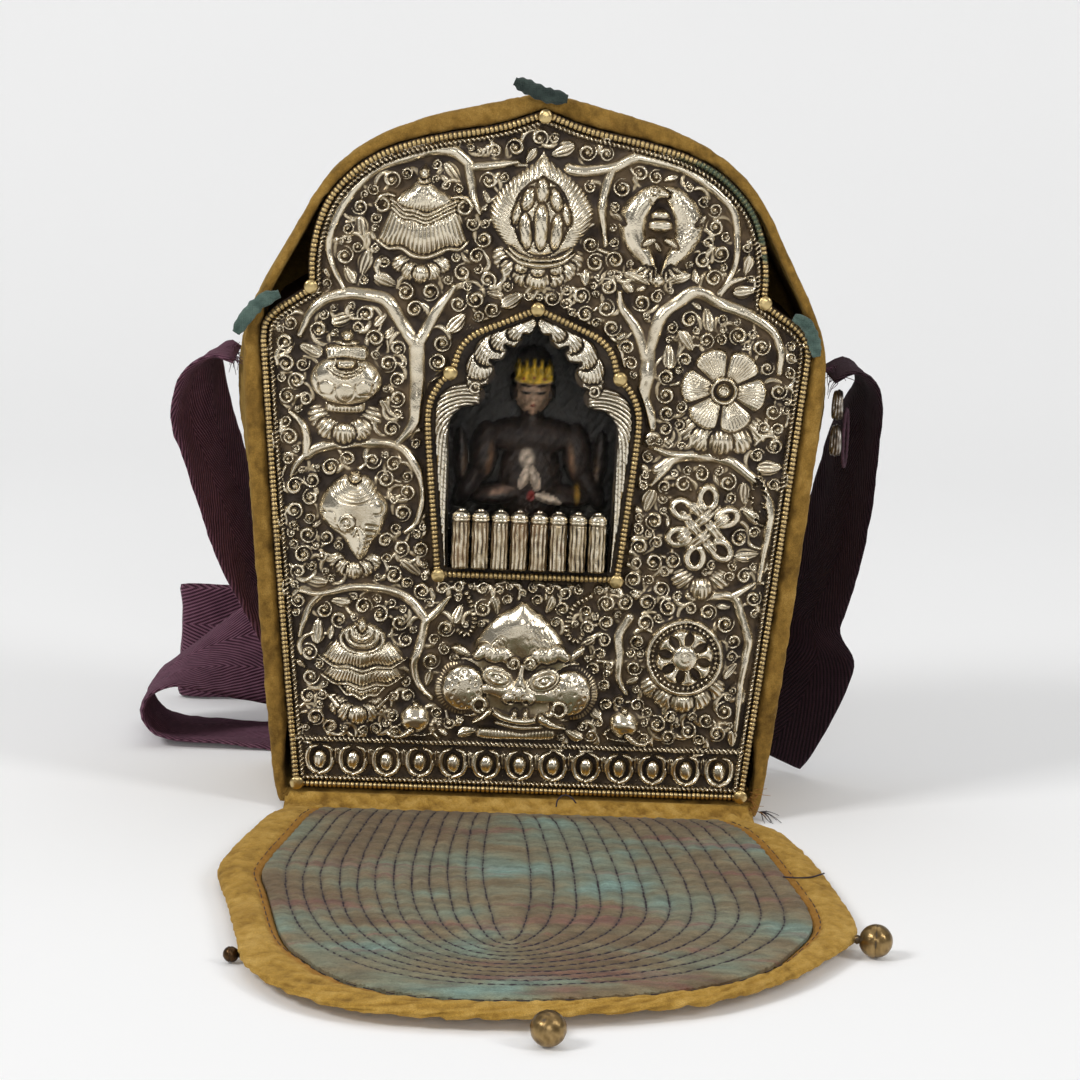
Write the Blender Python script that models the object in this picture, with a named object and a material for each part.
"""Portable gau shrine: a hollow metal amulet box with an embossed silver front, in a velvet case.

Metres, +Z up. The shrine stands on its underside at z = 0 and faces -Y; the origin is the middle
of the case's underside. The front flap is hinged on cloth along the bottom edge and lies open.
"""

import math

import bmesh
import bpy
import numpy as np
from mathutils import Vector

# ---- driving dimensions -------------------------------------------------------------------
GAP = 0.0003                  # clearance between pieces that touch

CASE_DEPTH = 0.064
CASE_WALL = 0.0031            # velvet over quilted lining
CASE_FLOOR = 0.0062
SIDE_BULGE = 0.0035           # how far the padded sides swell, and where
SIDE_BULGE_AT = 0.128
SIDE_BULGE_SPREAD = 0.024
BACK_EASE = 0.0045            # depth over which the back edges are rounded
BINDING_LIFT = 0.0012         # the front edge's underside over the table
BINDING_CLEARANCE = 0.0007    # between the front edge and the box
# widest the front edge gets, as (height, width): narrow at the foot and beside the notches
BINDING_WIDTHS = [(0.012, 0.0034), (0.030, 0.0060), (0.148, 0.0060), (0.160, 0.0030),
                  (0.194, 0.0032), (0.205, 0.0060)]
CROWN_DROP = 0.0040           # how much lower the crown stands at the back than at the front
CROWN_FOOT, CROWN_TOP = 0.160, 0.215

BOX_WALL = 0.0010             # sheet metal of the inner box
PLATE_THICKNESS = 0.0014
PLATE_FACE = -0.0330          # y of the silver's ground
RELIEF = 0.0060               # height of the tallest embossing over the ground

WIRE_RADIUS = 0.0011
ARCH_RISE = 0.0016            # how far the window's frame stands over the silver's ground
RIVET_RADIUS = 0.0022
PILLAR_COUNT = 8
PILLAR_PITCH = 0.00605
PILLAR_RADIUS = 0.0028
PILLAR_FOOT, PILLAR_TOP = 0.0790, 0.0972

GLASS_THICKNESS = 0.0014
TABLET_DEPTH = 0.0160
TABLET_BACK = 0.0030          # clay left behind the sunk field

HINGE_Y, HINGE_Z = -0.0455, 0.0025
FLAP_TOP = 0.0056             # height of the open flap's top over the table
FLAP_FLOOR = 0.0007           # height of its underside, which the balls hold up round the edge
EDGE_LIFT, LIFT_FROM, LIFT_TO = 0.0026, 0.050, 0.160
LINING_THICKNESS = 0.0022
FLAP_RUNGS = 18               # strips along the flap's length
SHANK_RADIUS = 0.0011

WEBBING_WIDTH = 0.040
WEBBING_THICKNESS = 0.0015

CASE_FRONT, CASE_BACK = -CASE_DEPTH / 2, CASE_DEPTH / 2
PLATE_BACK = PLATE_FACE + PLATE_THICKNESS
BINDING_FRONT, BINDING_BACK = -0.0342, -0.0268
WIRE_FRONT = PLATE_FACE - 2 * WIRE_RADIUS - GAP

# Half outlines in (x, z), from the middle of the bottom round the right side to the apex.
# Each run is a smooth curve, and the runs meet at corners.
CASE_RUNS = [
    [(0.0, 0.0), (0.0722, 0.0)],
    [(0.0722, 0.0), (0.0762, 0.0030), (0.0790, 0.020), (0.0834, 0.060), (0.0880, 0.108),
     (0.0902, 0.140), (0.0895, 0.152), (0.0850, 0.1640), (0.0764, 0.1807), (0.0692, 0.1944),
     (0.0618, 0.2035), (0.0513, 0.2113), (0.0375, 0.2174), (0.0200, 0.2221), (0.0, 0.2269)],
]
GAU_RUNS = [
    [(0.0, 0.0068), (0.0696, 0.0068)],
    [(0.0696, 0.0068), (0.0714, 0.0088)],
    [(0.0714, 0.0088), (0.0788, 0.0790), (0.0853, 0.1480)],
    [(0.0853, 0.1480), (0.0846, 0.1535), (0.0810, 0.1580), (0.0755, 0.1618), (0.0708, 0.1650)],
    [(0.0708, 0.1650), (0.0709, 0.1745), (0.0690, 0.1850), (0.0646, 0.1945), (0.0562, 0.2032),
     (0.0462, 0.2088), (0.0326, 0.2128), (0.0140, 0.2166), (0.0, 0.2214)],
]
WINDOW_RUNS = [
    [(0.0, 0.0762), (0.0285, 0.0762)],
    [(0.0285, 0.0762), (0.0305, 0.0950), (0.0325, 0.1150), (0.0331, 0.1285), (0.0300, 0.1365),
     (0.0262, 0.1400)],
    [(0.0262, 0.1400), (0.0240, 0.1475), (0.0195, 0.1525), (0.0120, 0.1560), (0.0050, 0.1590),
     (0.0, 0.1612)],
]
OPENING_RUNS = [
    [(0.0, 0.0786), (0.0252, 0.0786)],
    [(0.0252, 0.0786), (0.0256, 0.1000), (0.0262, 0.1240), (0.0240, 0.1282), (0.0188, 0.1310)],
    [(0.0188, 0.1310), (0.0166, 0.1380), (0.0132, 0.1478), (0.0060, 0.1515), (0.0, 0.1540)],
]
# The flap's outline as (x, distance from the hinge), from the hinge's right end to its left end.
FLAP_RIGHT_TO_LEFT = [
    (0.0750, 0.0), (0.0813, 0.0226), (0.0873, 0.0534), (0.0915, 0.0956), (0.0926, 0.1190),
    (0.0903, 0.1342), (0.0827, 0.1499), (0.0731, 0.1668), (0.0615, 0.1812), (0.0477, 0.1935),
    (0.0310, 0.2020), (0.0094, 0.2092), (-0.0110, 0.2138), (-0.0338, 0.2128), (-0.0487, 0.2086),
    (-0.0615, 0.1984), (-0.0710, 0.1845), (-0.0767, 0.1690), (-0.0790, 0.1510), (-0.0838, 0.1140),
    (-0.0882, 0.0860), (-0.0878, 0.0700), (-0.0825, 0.0400), (-0.0740, 0.0),
]
# The outline of the lining inside the flap's velvet border, in the same way.
PANEL_RIGHT_TO_LEFT = [
    (0.0625, 0.0), (0.0690, 0.0248), (0.0731, 0.0456), (0.0784, 0.0897), (0.0802, 0.1114),
    (0.0792, 0.1300), (0.0728, 0.1490), (0.0645, 0.1670), (0.0525, 0.1815), (0.0385, 0.1910),
    (0.0190, 0.1985), (-0.0012, 0.2030), (-0.0213, 0.2036), (-0.0374, 0.1995), (-0.0507, 0.1888),
    (-0.0602, 0.1718), (-0.0669, 0.1529), (-0.0730, 0.1091), (-0.0757, 0.0886), (-0.0734, 0.0686),
    (-0.0695, 0.0465), (-0.0615, 0.0),
]

# (name, radius, shank length, x, distance from the hinge, direction the ball points from the flap)
BUTTONS = [("left", 0.0022, 0.0001, -0.0797, 0.1600, math.radians(180)),
           ("right", 0.0047, 0.0012, 0.0961, 0.1364, math.radians(10)),
           ("front", 0.0047, 0.0078, 0.0036, 0.2240, math.radians(90))]

# Straps: stations of (middle of the webbing, direction of its width).
STRAP_LEFT = [
    ((-0.0940, -0.002, 0.1390), (0, 1, 0)), ((-0.0995, -0.001, 0.1405), (0.1, 1, 0)),
    ((-0.1050, 0.001, 0.134), (0.27, 0.97, 0)), ((-0.1058, 0.006, 0.119), (0.42, 0.9, 0)),
    ((-0.1010, 0.011, 0.104), (0.42, 0.9, 0)), ((-0.0960, 0.017, 0.090), (0.45, 0.89, 0)),
    ((-0.0900, 0.0275, 0.070), (0.45, 0.89, 0)), ((-0.080, 0.0440, 0.050), (0.45, 0.85, 0.2)),
    ((-0.064, 0.0560, 0.033), (0.3, 0.4, 0.87)), ((-0.045, 0.060, 0.024), (0, 0, 1)),
    ((-0.020, 0.061, 0.0238), (0, 0, 1)), ((-0.006, 0.065, 0.0238), (0, 0, 1)),
    ((-0.002, 0.0745, 0.0238), (0, 0, 1)), ((-0.008, 0.084, 0.0238), (0, 0, 1)),
    ((-0.025, 0.088, 0.0238), (0, 0, 1)), ((-0.050, 0.089, 0.0238), (0, 0.05, 1)),
    ((-0.072, 0.087, 0.0245), (0, 0.3, 0.95)), ((-0.090, 0.080, 0.0260), (0, 0.65, 0.76)),
    ((-0.104, 0.071, 0.0255), (0, 0.92, 0.4)), ((-0.115, 0.0635, 0.0225), (0, 1, 0.1)),
    ((-0.1225, 0.061, 0.0175), (0, 1, 0)), ((-0.1250, 0.0605, 0.0115), (0, 1, 0)),
    ((-0.1215, 0.0605, 0.0050), (0, 1, 0)), ((-0.1130, 0.0605, 0.0018), (0, 1, 0)),
    ((-0.095, 0.0605, 0.0012), (0, 1, 0)), ((-0.050, 0.0605, 0.0012), (0, 1, 0)),
    ((0.000, 0.0605, 0.0012), (0, 1, 0)), ((0.025, 0.061, 0.0020), (0, 1, 0.05)),
    ((0.044, 0.067, 0.0120), (0.1, 0.85, 0.5)), ((0.056, 0.081, 0.0210), (0.1, 0.3, 0.95)),
    ((0.055, 0.099, 0.0212), (0, 0.05, 1)), ((0.043, 0.1130, 0.0210), (0, 0, 1)),
    ((0.020, 0.1185, 0.0208), (0, 0, 1)), ((-0.040, 0.1185, 0.0208), (0, 0, 1)),
    ((-0.095, 0.1180, 0.0208), (0, 0, 1)), ((-0.1135, 0.1180, 0.0208), (0, 0, 1)),
    ((-0.1180, 0.1206, 0.0208), (0, 0, 1)), ((-0.1135, 0.1232, 0.0208), (0, 0, 1)),
    ((-0.090, 0.1232, 0.0208), (0, 0, 1)), ((-0.030, 0.1235, 0.0208), (0, 0, 1)),
]
STRAP_RIGHT = [
    ((0.0945, -0.002, 0.1395), (0, 1, 0)), ((0.1015, -0.001, 0.1420), (0, 1, 0)),
    ((0.1072, 0.002, 0.136), (-0.1, 1, 0)), ((0.1062, 0.007, 0.122), (-0.28, 0.96, 0)),
    ((0.1030, 0.013, 0.100), (-0.36, 0.93, 0)), ((0.1000, 0.018, 0.080), (-0.45, 0.89, 0)),
    ((0.0962, 0.026, 0.065), (-0.52, 0.85, 0)), ((0.0925, 0.034, 0.054), (-0.6, 0.78, 0.12)),
    ((0.0945, 0.034, 0.0425), (-0.82, 0.55, 0.12)), ((0.0900, 0.0365, 0.028), (-0.84, 0.5, 0.2)),
    ((0.0825, 0.0385, 0.0140), (-0.84, 0.45, 0.33)), ((0.0785, 0.0400, 0.0080), (-0.86, 0.4, 0.3)),
]


# ---- curves and outlines ------------------------------------------------------------------
def smooth(points, count):
    """count + 1 points along a smooth curve through the given ones, evenly spaced on it."""
    p = np.array(points, float)
    if len(p) == 2:
        return p[0] + np.linspace(0, 1, count + 1)[:, None] * (p[1] - p[0])
    p = np.vstack([2 * p[0] - p[1], p, 2 * p[-1] - p[-2]])
    t = np.linspace(0, 1, 17)[:-1, None]
    dense = [
        0.5 * (2 * b + (c - a) * t + (2 * a - 5 * b + 4 * c - d) * t ** 2
               + (3 * b - a - 3 * c + d) * t ** 3)
        for a, b, c, d in zip(p[:-3], p[1:-2], p[2:-1], p[3:])
    ]
    dense = np.vstack(dense + [p[-2]])
    along = np.concatenate([[0], np.cumsum(np.linalg.norm(np.diff(dense, axis=0), axis=1))])
    at = np.linspace(0, along[-1], count + 1)
    return np.stack([np.interp(at, along, dense[:, k]) for k in range(dense.shape[1])], axis=1)


def full_outline(runs, counts):
    """The closed outline of a symmetric shape, from its half's runs, anticlockwise from the left."""
    half = np.vstack([smooth(run, n)[:-1] for run, n in zip(runs, counts)] + [[runs[-1][-1]]])
    mirrored = half[1:-1][::-1] * [-1, 1]
    return np.vstack([half, mirrored])


def inset(outline, distance):
    """The outline moved inwards by distance, corner by corner. A negative distance grows it."""
    before, after = np.roll(outline, 1, axis=0), np.roll(outline, -1, axis=0)
    def normals(a, b):
        d = b - a
        return np.stack([-d[:, 1], d[:, 0]], axis=1) / np.linalg.norm(d, axis=1)[:, None]
    n0, n1 = normals(before, outline), normals(outline, after)
    middle = n0 + n1
    middle /= np.linalg.norm(middle, axis=1)[:, None]
    stretch = np.clip((middle * n0).sum(1), 0.5, 1)[:, None]
    return outline + middle / stretch * distance


# ---- meshes -------------------------------------------------------------------------------
def material(name, colour, roughness, metallic=0.0):
    made = bpy.data.materials.new(name)
    made.use_nodes = True
    shader = made.node_tree.nodes["Principled BSDF"]
    shader.inputs["Base Color"].default_value = (*colour, 1)
    shader.inputs["Roughness"].default_value = roughness
    shader.inputs["Metallic"].default_value = metallic
    made.diffuse_color = (*colour, 1)
    return made


def finish(name, bm, look, parent=None, smooth_angle=35):
    """Turns a bmesh into a named object with its faces pointing out."""
    bmesh.ops.remove_doubles(bm, verts=bm.verts, dist=1e-6)
    bmesh.ops.recalc_face_normals(bm, faces=bm.faces)
    mesh = bpy.data.meshes.new(name)
    bm.to_mesh(mesh)
    bm.free()
    mesh.shade_smooth()
    mesh.set_sharp_from_angle(angle=math.radians(smooth_angle))
    mesh.materials.append(look)
    made = bpy.data.objects.new(name, mesh)
    bpy.context.scene.collection.objects.link(made)
    if parent:
        made.parent = parent
        made.matrix_parent_inverse = parent.matrix_world.inverted()
    return made


def bridge(bm, rings, closed=False):
    """Quads between rings of vertices that have the same count. closed joins last to first."""
    pairs = list(zip(rings[:-1], rings[1:])) + ([(rings[-1], rings[0])] if closed else [])
    for a, b in pairs:
        for i in range(len(a)):
            j = (i + 1) % len(a)
            bm.faces.new((a[i], a[j], b[j], b[i]))


def ring_at(bm, outline, y):
    """Vertices of an (x, z) outline at depth y, which is a number or a function of x and z."""
    return [bm.verts.new((x, y(x, z) if callable(y) else y, z)) for x, z in outline]


def cap(bm, ring):
    """Closes a ring with triangles, as a flat, not necessarily convex face."""
    edges = [bm.edges.get((ring[i], ring[i - 1])) or bm.edges.new((ring[i], ring[i - 1]))
             for i in range(len(ring))]
    bmesh.ops.triangle_fill(bm, use_beauty=True, use_dissolve=False, edges=edges)


def loft(bm, layers, cap_first=True, cap_last=True):
    """A skin through layers of (outline, y)."""
    rings = [ring_at(bm, outline, y) for outline, y in layers]
    bridge(bm, rings)
    if cap_first:
        cap(bm, rings[0])
    if cap_last:
        cap(bm, rings[-1])


def frame_between(name, outer, inner, front, back, look, rounding=0.0):
    """A flat ring between two outlines with equal counts, its outer and inner front edges eased."""
    bm = bmesh.new()
    layers = [(inner, back), (outer, back)]
    if rounding:
        layers += [(outer, front + rounding), (inset(outer, rounding), front),
                   (inset(inner, -rounding), front), (inner, front + rounding)]
    else:
        layers += [(outer, front), (inner, front)]
    bridge(bm, [ring_at(bm, outline, y) for outline, y in layers], closed=True)
    return finish(name, bm, look)


def tube(name, points, radius, look, facing=(0, 1, 0), sides=4):
    """A closed round wire through points, which lie about in a plane square to facing."""
    p = np.array(points, float)
    bm = bmesh.new()
    rings = []
    for i in range(len(p)):
        run = Vector(p[(i + 1) % len(p)] - p[i - 1]).normalized()
        across = run.cross(Vector(facing)).normalized()
        up = across.cross(run)
        rings.append([bm.verts.new(Vector(p[i]) + radius * (math.cos(a) * across + math.sin(a) * up))
                      for a in np.linspace(0, 2 * math.pi, sides, endpoint=False)])
    bridge(bm, rings, closed=True)
    return finish(name, bm, look, smooth_angle=60)


def turned(bm, profile, sides, place, axis="z"):
    """A turned solid: profile of (radius, height) up its axis, which runs along z or along -y."""
    rings = []
    for radius, height in profile:
        ring = []
        for k in range(sides):
            a = 2 * math.pi * k / sides
            u, v = radius * math.cos(a), radius * math.sin(a)
            offset = (u, v, height) if axis == "z" else (u, -height, v)
            ring.append(bm.verts.new(Vector(place) + Vector(offset)))
        rings.append(ring)
    bridge(bm, rings)
    bm.faces.new(rings[0][::-1])
    bm.faces.new(rings[-1])


def boolean(target, other, operation):
    """Joins or cuts target with other, which may overlap itself, and removes other."""
    modifier = target.modifiers.new(operation.lower(), "BOOLEAN")
    modifier.operation = operation
    modifier.solver = "EXACT"
    modifier.use_self = True
    modifier.object = other
    graph = bpy.context.evaluated_depsgraph_get()
    mesh = bpy.data.meshes.new_from_object(target.evaluated_get(graph))
    target.modifiers.clear()
    target.data = mesh
    bpy.data.objects.remove(other)


# ---- embossed ornament --------------------------------------------------------------------
SINK = 0.0007                 # how deep an ornament's root goes into the plate


def round_outline(radius_x, radius_z, count=9, lobes=0, depth=0.0, phase=0.0, turn=0.0):
    """An ellipse about the origin, with lobes that swell its edge when lobes is over 0."""
    a = np.linspace(0, 2 * math.pi, count, endpoint=False)
    swell = 1 + depth * np.cos(lobes * (a - phase)) if lobes else np.ones(count)
    x, z = radius_x * swell * np.cos(a), radius_z * swell * np.sin(a)
    c, s = math.cos(turn), math.sin(turn)
    return np.stack([c * x - s * z, s * x + c * z], axis=1)


def pillow(bm, outline, middle, height, small=False):
    """A domed swelling over an outline that is star-shaped about middle, rooted in the plate.

    Each root ends at its own depth, so that no two of them lie in one plane. A small swelling
    has a flat top.
    """
    m = np.array(middle, float)
    points = np.array(outline, float) + m
    root = SINK * (0.6 + 0.4 * (len(bm.verts) * 0.618 % 1))
    levels = [(1.0, -root), (0.6, height) if small else (0.78, 0.75 * height)]
    rings = [ring_at(bm, m + (points - m) * s, PLATE_FACE - h) for s, h in levels]
    bridge(bm, rings)
    cap(bm, rings[0])
    if small:
        cap(bm, rings[-1])
        return
    tip = bm.verts.new((m[0], PLATE_FACE - height, m[1]))
    last = rings[-1]
    for i, v in enumerate(last):
        bm.faces.new((v, last[(i + 1) % len(last)], tip))


def lotus_seat(bm, x, z, width):
    """The low cushion of petals under an emblem."""
    pillow(bm, round_outline(0.52 * width, 0.0034, 8), (x, z), 0.0024, small=True)


def parasol(bm, x, z):
    skirt = [(-0.0125, -0.006), (0, -0.0085), (0.0125, -0.006), (0.009, 0.003), (-0.009, 0.003)]
    pillow(bm, skirt, (x, z - 0.002), 0.0046)
    pillow(bm, round_outline(0.0098, 0.0056), (x, z + 0.0030), 0.0050)
    pillow(bm, round_outline(0.0025, 0.0030, 6), (x, z + 0.0105), 0.0036, small=True)
    lotus_seat(bm, x, z - 0.0135, 0.018)


def fish_pair(bm, x, z):
    for side in (-1, 1):
        for k, size in enumerate((0.0054, 0.0058, 0.0040)):
            a = math.radians(72 - 58 * k)
            middle = (x + side * 0.0100 * math.cos(a), z + 0.0100 * math.sin(a))
            pillow(bm, round_outline(size, 0.8 * size, 7, turn=side * (a - 1.57)), middle, 0.0046)
    lotus_seat(bm, x, z - 0.0145, 0.018)


def jewels(bm, x, z):
    flame = round_outline(0.0150, 0.0185, 14, 7, 0.05, math.pi / 2)
    flame[:, 0] *= 1 - 0.45 * np.clip(flame[:, 1] / 0.0185, 0, 1) ** 2
    pillow(bm, flame, (x, z), 0.0040)
    for dx, dz in ((-0.0055, -0.003), (0.0055, -0.003), (0, 0.0045)):
        pillow(bm, round_outline(0.0042, 0.0062, 7), (x + dx, z + dz), 0.0058)
    pillow(bm, round_outline(0.0098, 0.0042, 8), (x, z - 0.0165), 0.0048)


def vase(bm, x, z):
    pillow(bm, round_outline(0.0118, 0.0078, 11), (x, z - 0.0010), 0.0055)
    pillow(bm, round_outline(0.0050, 0.0034, 7), (x, z + 0.0070), 0.0046)
    pillow(bm, round_outline(0.0082, 0.0030, 8), (x, z + 0.0105), 0.0042)
    pillow(bm, round_outline(0.0072, 0.0026, 8), (x, z - 0.0095), 0.0040)
    lotus_seat(bm, x, z - 0.0150, 0.018)


def lotus_flower(bm, x, z):
    pillow(bm, round_outline(0.0134, 0.0134, 18, 6, 0.08, math.pi / 6), (x, z), 0.0036)
    pillow(bm, round_outline(0.0042, 0.0042, 8), (x, z), 0.0052)
    lotus_seat(bm, x, z - 0.0160, 0.018)


def conch(bm, x, z):
    for k, size in enumerate((0.0040, 0.0064, 0.0090)):
        pillow(bm, round_outline(size, 0.0030, 8, turn=-0.15), (x, z + 0.0118 - 0.0040 * k),
               0.0034 + 0.0008 * k)
    body = [(-0.0108, 0.004), (-0.0095, -0.0045), (-0.002, -0.0135), (0.0035, -0.0125),
            (0.0100, -0.004), (0.0112, 0.0035), (0.0, 0.0065)]
    pillow(bm, body, (x, z - 0.0015), 0.0056)
    lotus_seat(bm, x, z - 0.0190, 0.017)


def endless_knot(bm, x, z):
    for turn in (math.radians(42), math.radians(-48)):
        along = np.array((-math.sin(turn), math.cos(turn)))
        for k in (-0.6, 0.6):
            outline = round_outline(0.0118, 0.0021, 8, turn=turn)
            pillow(bm, outline, np.array((x, z)) + along * 0.0052 * k, 0.0036 + 0.0007 * turn)
    lotus_seat(bm, x, z - 0.0170, 0.018)


def victory_banner(bm, x, z):
    pillow(bm, round_outline(0.0052, 0.0046, 8), (x, z + 0.0095), 0.0044)
    for k, width in enumerate((0.0095, 0.0118, 0.0132)):
        flounce = [(-width, -0.0030), (0, -0.0044), (width, -0.0030),
                   (0.6 * width, 0.0032), (-0.6 * width, 0.0032)]
        pillow(bm, flounce, (x, z + 0.0045 - 0.0052 * k), 0.0052 - 0.0006 * k)
    lotus_seat(bm, x, z - 0.0165, 0.018)


def wheel(bm, x, z):
    pillow(bm, round_outline(0.0118, 0.0118, 16), (x, z), 0.0034)
    pillow(bm, round_outline(0.0042, 0.0042, 8), (x, z), 0.0050)
    lotus_seat(bm, x, z - 0.0165, 0.018)


def face_of_glory(bm, x, z):
    """The horned guardian mask: forehead lobe, brows, nose, great cheeks, mouth and beard."""
    pillow(bm, round_outline(0.0105, 0.0120, 10), (x, z + 0.0115), 0.0044)
    pillow(bm, round_outline(0.0190, 0.0110, 12), (x, z - 0.0040), 0.0034)
    for side in (-1, 1):
        pillow(bm, round_outline(0.0096, 0.0092, 11), (x + side * 0.0160, z - 0.0045), 0.0056)
        pillow(bm, round_outline(0.0072, 0.0024, 8, turn=side * 0.45),
               (x + side * 0.0085, z + 0.0055), 0.0054)
    pillow(bm, round_outline(0.0046, 0.0040, 8), (x, z - 0.0030), RELIEF)
    pillow(bm, round_outline(0.0105, 0.0030, 9), (x, z - 0.0095), 0.0052)
    pillow(bm, round_outline(0.0130, 0.0030, 9), (x, z - 0.0145), 0.0034)


EMBLEMS = [
    (jewels, 0.0, 0.1910), (parasol, -0.0362, 0.1875), (fish_pair, 0.0366, 0.1868),
    (vase, -0.0584, 0.1378), (lotus_flower, 0.0584, 0.1375), (conch, -0.0550, 0.0968),
    (endless_knot, 0.0540, 0.0955), (victory_banner, -0.0505, 0.0525), (wheel, 0.0502, 0.0530),
    (face_of_glory, 0.0, 0.0465),
]
LOTUS_BAND_Z, LOTUS_BAND_COUNT, LOTUS_BAND_PITCH = 0.0158, 13, 0.0105
MOULDINGS = [(0.0222, 0.0012), (0.0098, 0.0008)]      # (height on the plate, radius)
ELEPHANT_CAPS = [(-0.0345, 0.0300), (0.0335, 0.0305)]


# The seated figure's masses: x, z, half width, half height, distance behind the rim, turn.
FIGURE = [
    (0.0, 0.0855, 0.0215, 0.0065, 0.0032, 0.0),           # crossed legs
    (0.0, 0.1060, 0.0105, 0.0160, 0.0052, 0.0),           # trunk
    (0.0, 0.1215, 0.0160, 0.0055, 0.0046, 0.0),           # shoulders
    (0.0, 0.1345, 0.0056, 0.0072, 0.0032, 0.0),           # head
    (0.0, 0.1430, 0.0058, 0.0036, 0.0042, 0.0),           # crown
    (0.0010, 0.1065, 0.0042, 0.0044, 0.0012, 0.0),        # joined hands
    (-0.0150, 0.1140, 0.0042, 0.0100, 0.0062, -0.15),     # upper arms
    (0.0150, 0.1140, 0.0042, 0.0100, 0.0062, 0.15),
    (-0.0085, 0.1055, 0.0078, 0.0030, 0.0036, -0.5),      # forearms
    (0.0085, 0.1055, 0.0078, 0.0030, 0.0036, 0.5),
]


# ---- the pieces ---------------------------------------------------------------------------
def case_outlines():
    """The case's outline, and that of its pocket, which has a thicker padded floor."""
    outer = full_outline(CASE_RUNS, (5, 22))
    inner = inset(outer, CASE_WALL)
    inner[:, 1] = np.maximum(inner[:, 1], CASE_FLOOR)
    return outer, inner


def crowned(outline, y):
    """The outline at depth y: above the shoulders it gets lower towards the back."""
    depth = (y - BINDING_FRONT) / (CASE_BACK - BINDING_FRONT)
    above = np.clip((outline[:, 1] - CROWN_FOOT) / (CROWN_TOP - CROWN_FOOT), 0, 1)
    return np.stack([outline[:, 0], outline[:, 1] - CROWN_DROP * depth * above], axis=1)


def velvet_case(look):
    outer, inner = case_outlines()

    def swollen(outline, y):
        swell = SIDE_BULGE * math.cos(math.pi * y / CASE_DEPTH) ** 2
        grow = swell * np.exp(-(((outline[:, 1] - SIDE_BULGE_AT) / SIDE_BULGE_SPREAD) ** 2))
        return np.stack([outline[:, 0] + np.sign(outline[:, 0]) * grow, outline[:, 1]], axis=1)

    def eased(distance, foot):
        """The outline drawn in towards the back, its underside lifted to foot."""
        ring = inset(outer, distance)
        ring[:, 1] = np.where(outer[:, 1] < 1e-6, foot, ring[:, 1])
        return ring

    front = BINDING_BACK + GAP
    bm = bmesh.new()
    layers = [(inner, CASE_BACK - CASE_WALL), (inner, front), (outer, front)]
    layers += [(swollen(outer, y), y) for y in (-0.016, 0.0, 0.016)]
    layers += [(outer, CASE_BACK - BACK_EASE), (eased(0.0015, 0.0), CASE_BACK - 0.0012),
               (eased(0.0050, 0.0015), CASE_BACK)]
    loft(bm, [(crowned(outline, y), y) for outline, y in layers])
    return finish("velvet_case", bm, look)


def case_binding(look):
    outer, _ = case_outlines()
    box = full_outline(GAU_RUNS, (16, 4, 32, 16, 36))
    room = np.linalg.norm(outer[:, None] - box[None], axis=2).min(axis=1)
    limit = np.interp(outer[:, 1], *np.transpose(BINDING_WIDTHS))
    inner = inset(outer, np.minimum(room - BINDING_CLEARANCE, limit)[:, None])
    inner[:, 1] = np.maximum(inner[:, 1], CASE_FLOOR)
    outer[:, 1] = np.maximum(outer[:, 1], BINDING_LIFT)
    return frame_between("case_binding", outer, inner, BINDING_FRONT, BINDING_BACK, look, 0.0016)


def gau_box(look):
    outer = full_outline(GAU_RUNS, (4, 1, 8, 4, 9))
    inner = inset(outer, BOX_WALL)
    front, back = PLATE_BACK + GAP, CASE_BACK - CASE_WALL - GAP
    bm = bmesh.new()
    layers = [(inner, back - BOX_WALL), (inner, front), (outer, front),
              (outer, back - 0.002), (inset(outer, 0.0015), back)]
    loft(bm, [(crowned(outline, y), y) for outline, y in layers])
    return finish("gau_box", bm, look)


def silver_front(look):
    outer = full_outline(GAU_RUNS, (4, 1, 8, 4, 9))
    hole = full_outline(WINDOW_RUNS, (5, 11, 10))
    plate = frame_between("silver_front", outer, hole, PLATE_FACE, PLATE_BACK, look)
    relief = bmesh.new()
    for make, x, z in EMBLEMS:
        make(relief, x, z)
    for x, z in ELEPHANT_CAPS:
        pillow(relief, round_outline(0.0052, 0.0042, 8), (x, z), 0.0036)
    first = -LOTUS_BAND_PITCH * (LOTUS_BAND_COUNT - 1) / 2
    for k in range(LOTUS_BAND_COUNT):
        middle = (first + LOTUS_BAND_PITCH * k, LOTUS_BAND_Z)
        pillow(relief, round_outline(0.0036, 0.0030, 8), middle, 0.0026, small=True)
    for z, radius in MOULDINGS:
        bar = inset(np.array([(-0.0690, z), (0.0, z - 1e-5), (0.0690, z), (0.0, z + 1e-5)]), -radius)
        pillow(relief, bar - (0.0, z), (0.0, z), 1.5 * radius)
    ornament = finish("ornament", relief, look)
    boolean(plate, ornament, "UNION")
    plate.data.shade_smooth()
    plate.data.set_sharp_from_angle(angle=math.radians(40))
    return plate


def window_arch(look):
    outer = inset(full_outline(WINDOW_RUNS, (4, 11, 10)), GAP)
    opening = full_outline(OPENING_RUNS, (4, 11, 10))
    return frame_between("window_arch", outer, opening, PLATE_FACE - ARCH_RISE, PLATE_BACK, look)


def bead_wires(look):
    y = PLATE_FACE - WIRE_RADIUS - GAP
    outline = inset(full_outline(GAU_RUNS, (5, 1, 10, 6, 12)), WIRE_RADIUS)
    tube("outer_bead_wire", [(x, y, z) for x, z in outline], WIRE_RADIUS, look)
    y = PLATE_FACE - ARCH_RISE - WIRE_RADIUS - GAP
    outline = inset(full_outline(WINDOW_RUNS, (5, 9, 8)), 0.5 * WIRE_RADIUS)
    tube("window_bead_wire", [(x, y, z) for x, z in outline], WIRE_RADIUS, look)


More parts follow.
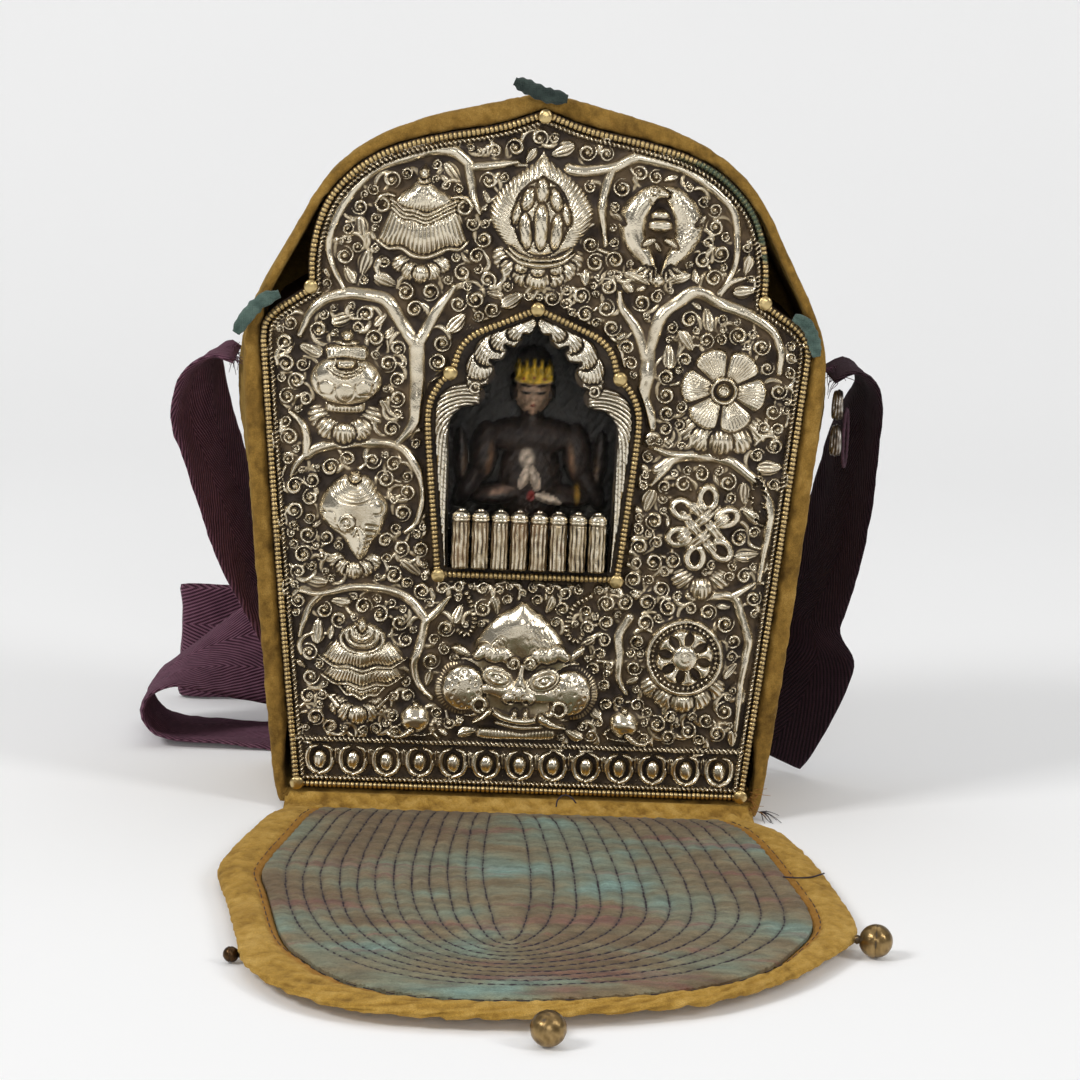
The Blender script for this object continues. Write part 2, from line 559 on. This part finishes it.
def rivets(look):
    """Domed rivet heads that sit over the bead wires."""
    outer_front = WIRE_FRONT - GAP
    window_front = outer_front - ARCH_RISE
    places = [("apex", 0.0, 0.2196, outer_front)]
    for side, name in ((-1, "left"), (1, "right")):
        places += [
            (f"notch_{name}", side * 0.0700, 0.1650, outer_front),
            (f"corner_{name}", side * 0.0700, 0.0084, outer_front),
            (f"window_upper_{name}", side * 0.0262, 0.1400, window_front),
            (f"window_sill_{name}", side * 0.0278, 0.0765, window_front),
        ]
    places.append(("window_top", 0.0, 0.1606, window_front))
    r = RIVET_RADIUS
    for name, x, z, y in places:
        bm = bmesh.new()
        turned(bm, [(r, 0.0), (0.88 * r, 0.3 * r), (0.45 * r, 0.55 * r)], 8,
               (x, y, z), axis="y")
        finish(f"rivet_{name}", bm, look, smooth_angle=60)


def sill_pillars(look):
    y = PLATE_FACE - 0.0010 - PILLAR_RADIUS - GAP
    r = PILLAR_RADIUS
    first = -PILLAR_PITCH * (PILLAR_COUNT - 1) / 2
    profile = [(0.86 * r, PILLAR_FOOT), (0.86 * r, PILLAR_TOP - 0.0030), (r, PILLAR_TOP - 0.0022),
               (r, PILLAR_TOP - 0.0006), (0.5 * r, PILLAR_TOP)]
    for k in range(PILLAR_COUNT):
        bm = bmesh.new()
        turned(bm, profile, 7, (first + PILLAR_PITCH * k, y, 0.0))
        finish(f"sill_pillar_{k + 1}", bm, look)


def window_glass(look):
    outline = inset(full_outline(WINDOW_RUNS, (3, 7, 6)), -0.0022)
    bm = bmesh.new()
    front = PLATE_BACK + GAP
    loft(bm, [(outline, front), (outline, front + GLASS_THICKNESS)])
    return finish("window_glass", bm, look)


def figure_tablet(look):
    """A painted clay tablet: a raised rim, a sunk field and the seated figure in relief."""
    counts = (3, 7, 6)
    rim = inset(full_outline(WINDOW_RUNS, counts), -0.0060)
    field = inset(full_outline(WINDOW_RUNS, counts), -0.0020)
    front = PLATE_BACK + GLASS_THICKNESS + 2 * GAP
    floor = front + TABLET_DEPTH - TABLET_BACK
    bm = bmesh.new()
    loft(bm, [(field, floor), (field, front), (rim, front), (rim, front + TABLET_DEPTH)])
    tablet = finish("figure_tablet", bm, look)

    body = bmesh.new()
    for x, z, radius_x, radius_z, behind, turn in FIGURE:
        # A rounded mass from the tablet's field out to its own distance behind the rim.
        outline = round_outline(radius_x, radius_z, 9, turn=turn)
        front_y = front + behind
        depth = floor - front_y
        levels = [(0.95, floor + 0.001), (0.95, floor - 0.7 * depth), (0.5, front_y)]
        loft(body, [(np.array((x, z)) + outline * scale, y) for scale, y in levels])
    boolean(tablet, finish("figure", body, look), "UNION")
    tablet.data.shade_smooth()
    return tablet


def cloth_loop(name, route, width, thickness, look):
    """A folded strip of cloth sewn flat on the binding, along a route of (x, z) points."""
    path = smooth(route, 8)
    run = np.gradient(path, axis=0)
    run /= np.linalg.norm(run, axis=1)[:, None]
    across = np.stack([-run[:, 1], run[:, 0]], axis=1)
    half = width / 2 * np.sqrt(np.clip(1 - np.linspace(-1, 1, 9) ** 6, 0.35, 1))[:, None]
    outline = np.vstack([path - across * half, (path + across * half)[::-1]])
    back = WIRE_FRONT - GAP
    bm = bmesh.new()
    loft(bm, [(outline, back), (outline, back - 0.6 * thickness),
              (inset(outline, 0.3 * thickness), back - thickness)])
    return finish(name, bm, look)


def button_loops(look, dark_look):
    cloth_loop("button_loop_top", [(0.0065, 0.2252), (0.0, 0.2262), (-0.0060, 0.2285),
                                   (-0.0098, 0.2300)], 0.0052, 0.0026, dark_look)
    cloth_loop("button_loop_left", [(-0.0795, 0.1625), (-0.0850, 0.1600), (-0.0895, 0.1550),
                                    (-0.0925, 0.1500)], 0.0056, 0.0026, look)
    cloth_loop("button_loop_right", [(0.0790, 0.1612), (0.0830, 0.1590), (0.0855, 0.1540),
                                     (0.0866, 0.1492)], 0.0048, 0.0026, look)


def flap_levels(s):
    """The flap's underside and top at a distance s from the hinge: thin at the fold, then padded,
    with an edge that the balls hold off the table."""
    rise = np.clip((s - LIFT_FROM) / (LIFT_TO - LIFT_FROM), 0, 1)
    floor = FLAP_FLOOR + EDGE_LIFT * rise ** 2 * (3 - 2 * rise)
    return floor, HINGE_Z + (FLAP_TOP - HINGE_Z) * np.clip(s / 0.022, 0, 1) ** 0.7


def flap_outline(points):
    """The closed outline of the flap or of its lining: its curve, then the side at the hinge."""
    return np.vstack([smooth(points, 2 * FLAP_RUNGS), smooth((points[-1], points[0]), 6)[1:-1]])


def laid_across(bm, ring):
    """Closes a ring of the flap with strips from its right side to its left."""
    last = 2 * FLAP_RUNGS
    bm.faces.new([ring[0], ring[1], ring[last - 1], *ring[last:]])
    for i in range(1, FLAP_RUNGS):
        corners = (ring[i], ring[i + 1], ring[last - i - 1], ring[last - i])
        bm.faces.new(dict.fromkeys(corners))


def flap_pieces(velvet, lining, parent):
    edge, panel = flap_outline(FLAP_RIGHT_TO_LEFT), flap_outline(PANEL_RIGHT_TO_LEFT)

    def level(bm, outline, distance, from_hinge, z):
        """A ring of vertices inset by distance, and starting at from_hinge along the hinge."""
        hinge_side = outline[:, 1] < 1e-6
        half_width = outline[hinge_side, 0].max()
        moved = inset(outline, distance)
        moved[:, 1] = np.maximum(moved[:, 1], from_hinge)
        moved[hinge_side, 0] = outline[hinge_side, 0] * (1 - distance / half_width)
        moved[hinge_side, 1] = from_hinge
        return [bm.verts.new((x, HINGE_Y - GAP - s, h)) for (x, s), h in zip(moved, z)]

    def skin(name, levels, look):
        bm = bmesh.new()
        rings = [level(bm, *one) for one in levels]
        bridge(bm, rings)
        laid_across(bm, rings[0])
        laid_across(bm, rings[-1])
        finish(name, bm, look, parent)

    floor, top = flap_levels(edge[:, 1])
    panel_floor, panel_top = flap_levels(panel[:, 1])
    seat = panel_top - np.minimum(LINING_THICKNESS, 0.5 * (panel_top - panel_floor))
    skin("flap_cover", [
        (edge, 0.0080, 0.0, floor), (edge, 0.0016, 0.0, floor),
        (edge, 0.0, 0.0, 0.6 * floor + 0.4 * top), (edge, 0.0006, 0.0, 0.15 * floor + 0.85 * top),
        (edge, 0.0030, 0.0004, top), (panel, -0.0020, 0.0008, panel_top),
        (panel, 0.0, 0.0012, seat)], velvet)
    skin("flap_lining", [
        (panel, GAP, 0.0012 + GAP, seat + GAP), (panel, GAP, 0.0012 + GAP, panel_top),
        (panel, 0.0040, 0.0045, panel_top + 0.0012)], lining)


def ball_buttons(look, parent):
    """Balls on short shanks that stand out from the flap's edge."""
    for name, r, shank, x, s, direction in BUTTONS:
        angles = np.radians(np.linspace(-58, 76, 6))
        profile = [(SHANK_RADIUS, -r - shank), (SHANK_RADIUS, -0.93 * r)]
        profile += [(r * math.cos(a), r * math.sin(a)) for a in angles]
        bm = bmesh.new()
        turned(bm, profile, 11, (0, 0, 0))
        outward = Vector((math.cos(direction), -math.sin(direction), 0))
        turn = Vector((0, 0, 1)).rotation_difference(outward).to_matrix()
        bmesh.ops.rotate(bm, cent=(0, 0, 0), matrix=turn, verts=bm.verts)
        bmesh.ops.translate(bm, vec=(x, HINGE_Y - s, r + GAP), verts=bm.verts)
        finish(f"ball_button_{name}", bm, look, parent, 60)


def flap_fold(look):
    """The strip of velvet between the case's front edge and the flap's hinge."""
    front, back = HINGE_Y, BINDING_FRONT - GAP
    section = [(back, 0.0008), (back, 0.0052), (back - 0.0015, 0.0050), (front + 0.003, 0.0028),
               (front, 0.0026), (front, 0.0006)]
    bm = bmesh.new()
    rings = [[bm.verts.new((x, y, z)) for y, z in section] for x in (-0.0735, 0.0740)]
    bridge(bm, rings)
    cap(bm, rings[0])
    cap(bm, rings[1])
    return finish("flap_fold", bm, look)


def strap(name, stations, look, spacing=0.0115):
    """Flat webbing along its stations."""
    data = np.array([(*c, *w) for c, w in stations], float)
    length = np.linalg.norm(np.diff(data[:, :3], axis=0), axis=1).sum()
    path = smooth(data * [1, 1, 1, 0.02, 0.02, 0.02], round(length / spacing))
    centre, across = path[:, :3], path[:, 3:]
    across = across / np.linalg.norm(across, axis=1)[:, None]
    bm = bmesh.new()
    rings = []
    for i, (c, w) in enumerate(zip(centre, across)):
        run = centre[min(i + 1, len(centre) - 1)] - centre[max(i - 1, 0)]
        out = np.cross(w, run)
        out /= np.linalg.norm(out)
        rings.append([bm.verts.new(c + w * s * WEBBING_WIDTH / 2 + out * t * WEBBING_THICKNESS / 2)
                      for s, t in ((-1, -1), (1, -1), (1, 1), (-1, 1))])
    bridge(bm, rings)
    cap(bm, rings[0])
    cap(bm, rings[-1])
    return finish(name, bm, look)


def side_rings(metal, cord):
    """Two coiled metal rings and a thin cord loop on the right side of the case."""
    for name, z, radius in (("upper", 0.1318, 0.0040), ("lower", 0.1205, 0.0042)):
        points = [(0.0962 + 0.0006 * math.cos(a), -0.0170 + radius * math.cos(a),
                   z + radius * math.sin(a))
                  for a in np.linspace(0, 2 * math.pi, 10, endpoint=False)]
        tube(f"side_ring_{name}", points, 0.0012, metal, (1, 0, 0), 5)
    points = [(0.0992 + 0.0010 * math.cos(a), -0.0170 + 0.0030 * math.cos(a), 0.1215 + 0.0092
               * math.sin(a)) for a in np.linspace(0, 2 * math.pi, 12, endpoint=False)]
    tube("ring_cord", points, 0.0006, cord, (1, 0, 0))


# ---- assembly -----------------------------------------------------------------------------
def main():
    for old in list(bpy.data.objects):
        bpy.data.objects.remove(old)

    velvet = material("ochre_velvet", (0.36, 0.21, 0.05), 0.95)
    edge_velvet = material("edge_velvet", (0.42, 0.25, 0.07), 0.95)
    flap_velvet = material("flap_velvet", (0.40, 0.24, 0.06), 0.95)
    fold_velvet = material("fold_velvet", (0.38, 0.23, 0.06), 0.95)
    quilted = material("quilted_lining", (0.17, 0.19, 0.15), 0.9)
    copper = material("dark_copper", (0.10, 0.06, 0.04), 0.55, 0.9)
    silver = material("old_silver", (0.55, 0.50, 0.40), 0.32, 1.0)
    arch_silver = material("arch_silver", (0.60, 0.55, 0.45), 0.30, 1.0)
    pillar_silver = material("pillar_silver", (0.58, 0.52, 0.42), 0.34, 1.0)
    brass_wire = material("brass_wire", (0.52, 0.39, 0.19), 0.38, 1.0)
    brass_rivet = material("brass_rivet", (0.55, 0.42, 0.22), 0.35, 1.0)
    brass_ball = material("brass_ball", (0.45, 0.33, 0.15), 0.42, 1.0)
    glass = material("window_glass", (0.80, 0.86, 0.90), 0.05)
    painted = material("painted_clay", (0.06, 0.04, 0.03), 0.7)
    teal = material("teal_cloth", (0.10, 0.28, 0.24), 0.9)
    dark_teal = material("dark_teal_cloth", (0.07, 0.12, 0.10), 0.9)
    plum = material("plum_webbing", (0.075, 0.030, 0.045), 0.92)
    plum_short = material("plum_webbing_short", (0.080, 0.032, 0.048), 0.92)
    ring_metal = material("ring_metal", (0.40, 0.36, 0.30), 0.45, 1.0)
    plum_cord = material("plum_cord", (0.09, 0.03, 0.05), 0.9)

    hinge = bpy.data.objects.new("flap_hinge", None)
    hinge.location = (0.0, HINGE_Y, HINGE_Z)
    bpy.context.scene.collection.objects.link(hinge)
    bpy.context.view_layer.update()

    velvet_case(velvet)
    case_binding(edge_velvet)
    gau_box(copper)
    silver_front(silver)
    window_arch(arch_silver)
    bead_wires(brass_wire)
    rivets(brass_rivet)
    sill_pillars(pillar_silver)
    window_glass(glass)
    figure_tablet(painted)
    button_loops(teal, dark_teal)
    flap_fold(fold_velvet)
    flap_pieces(flap_velvet, quilted, hinge)
    ball_buttons(brass_ball, hinge)
    strap("strap_left", STRAP_LEFT, plum)
    strap("strap_right", STRAP_RIGHT, plum_short)
    side_rings(ring_metal, plum_cord)


main()
